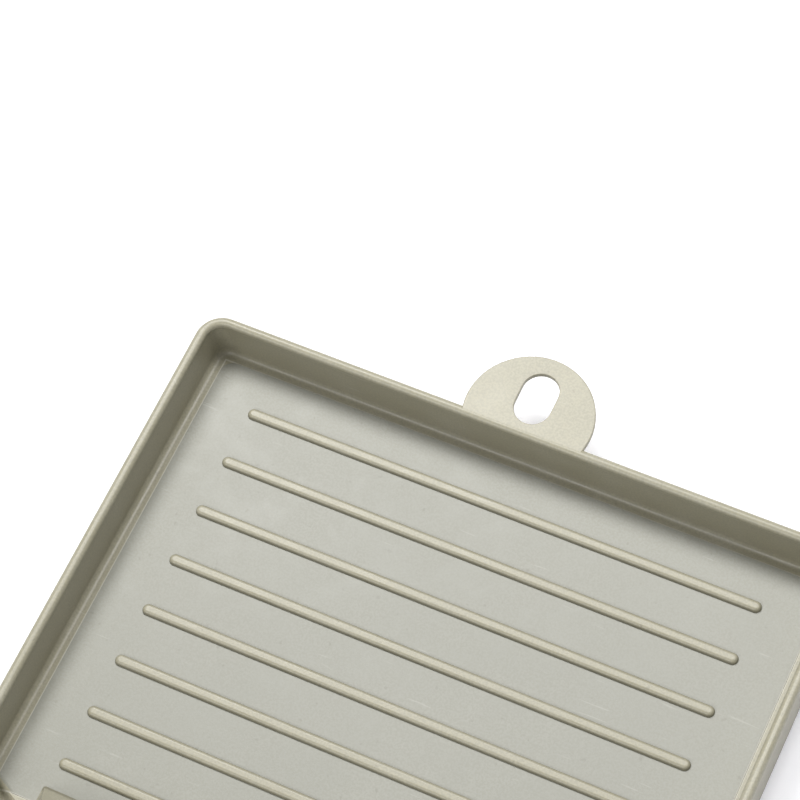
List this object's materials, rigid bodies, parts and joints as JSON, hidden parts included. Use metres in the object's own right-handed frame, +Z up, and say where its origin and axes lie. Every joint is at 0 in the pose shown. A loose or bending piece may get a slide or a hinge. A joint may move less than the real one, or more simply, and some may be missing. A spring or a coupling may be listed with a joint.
{
  "type": "draining tray",
  "caption": "Shallow rectangular draining tray with parallel ribs, a rounded rim, a corner spout, a hanging tab with an oblong hole, and rubber feet.",
  "frame": {"origin": "on the surface the tray stands on, under the middle of the object's box", "axes": "+X along the ribs, to the right when the hanging tab is at the back; +Y towards the hanging tab; +Z up"},
  "size_m": [0.2412, 0.2232, 0.0253],
  "materials": {
    "tray_plastic": "satin",
    "foot_rubber": "matte"
  },
  "bodies": {
    "root": {"tray": "tray_plastic", "foot_near_left": "foot_rubber", "foot_near_right": "foot_rubber", "foot_far_left": "foot_rubber", "foot_far_right": "foot_rubber"}
  },
  "joints": []
}
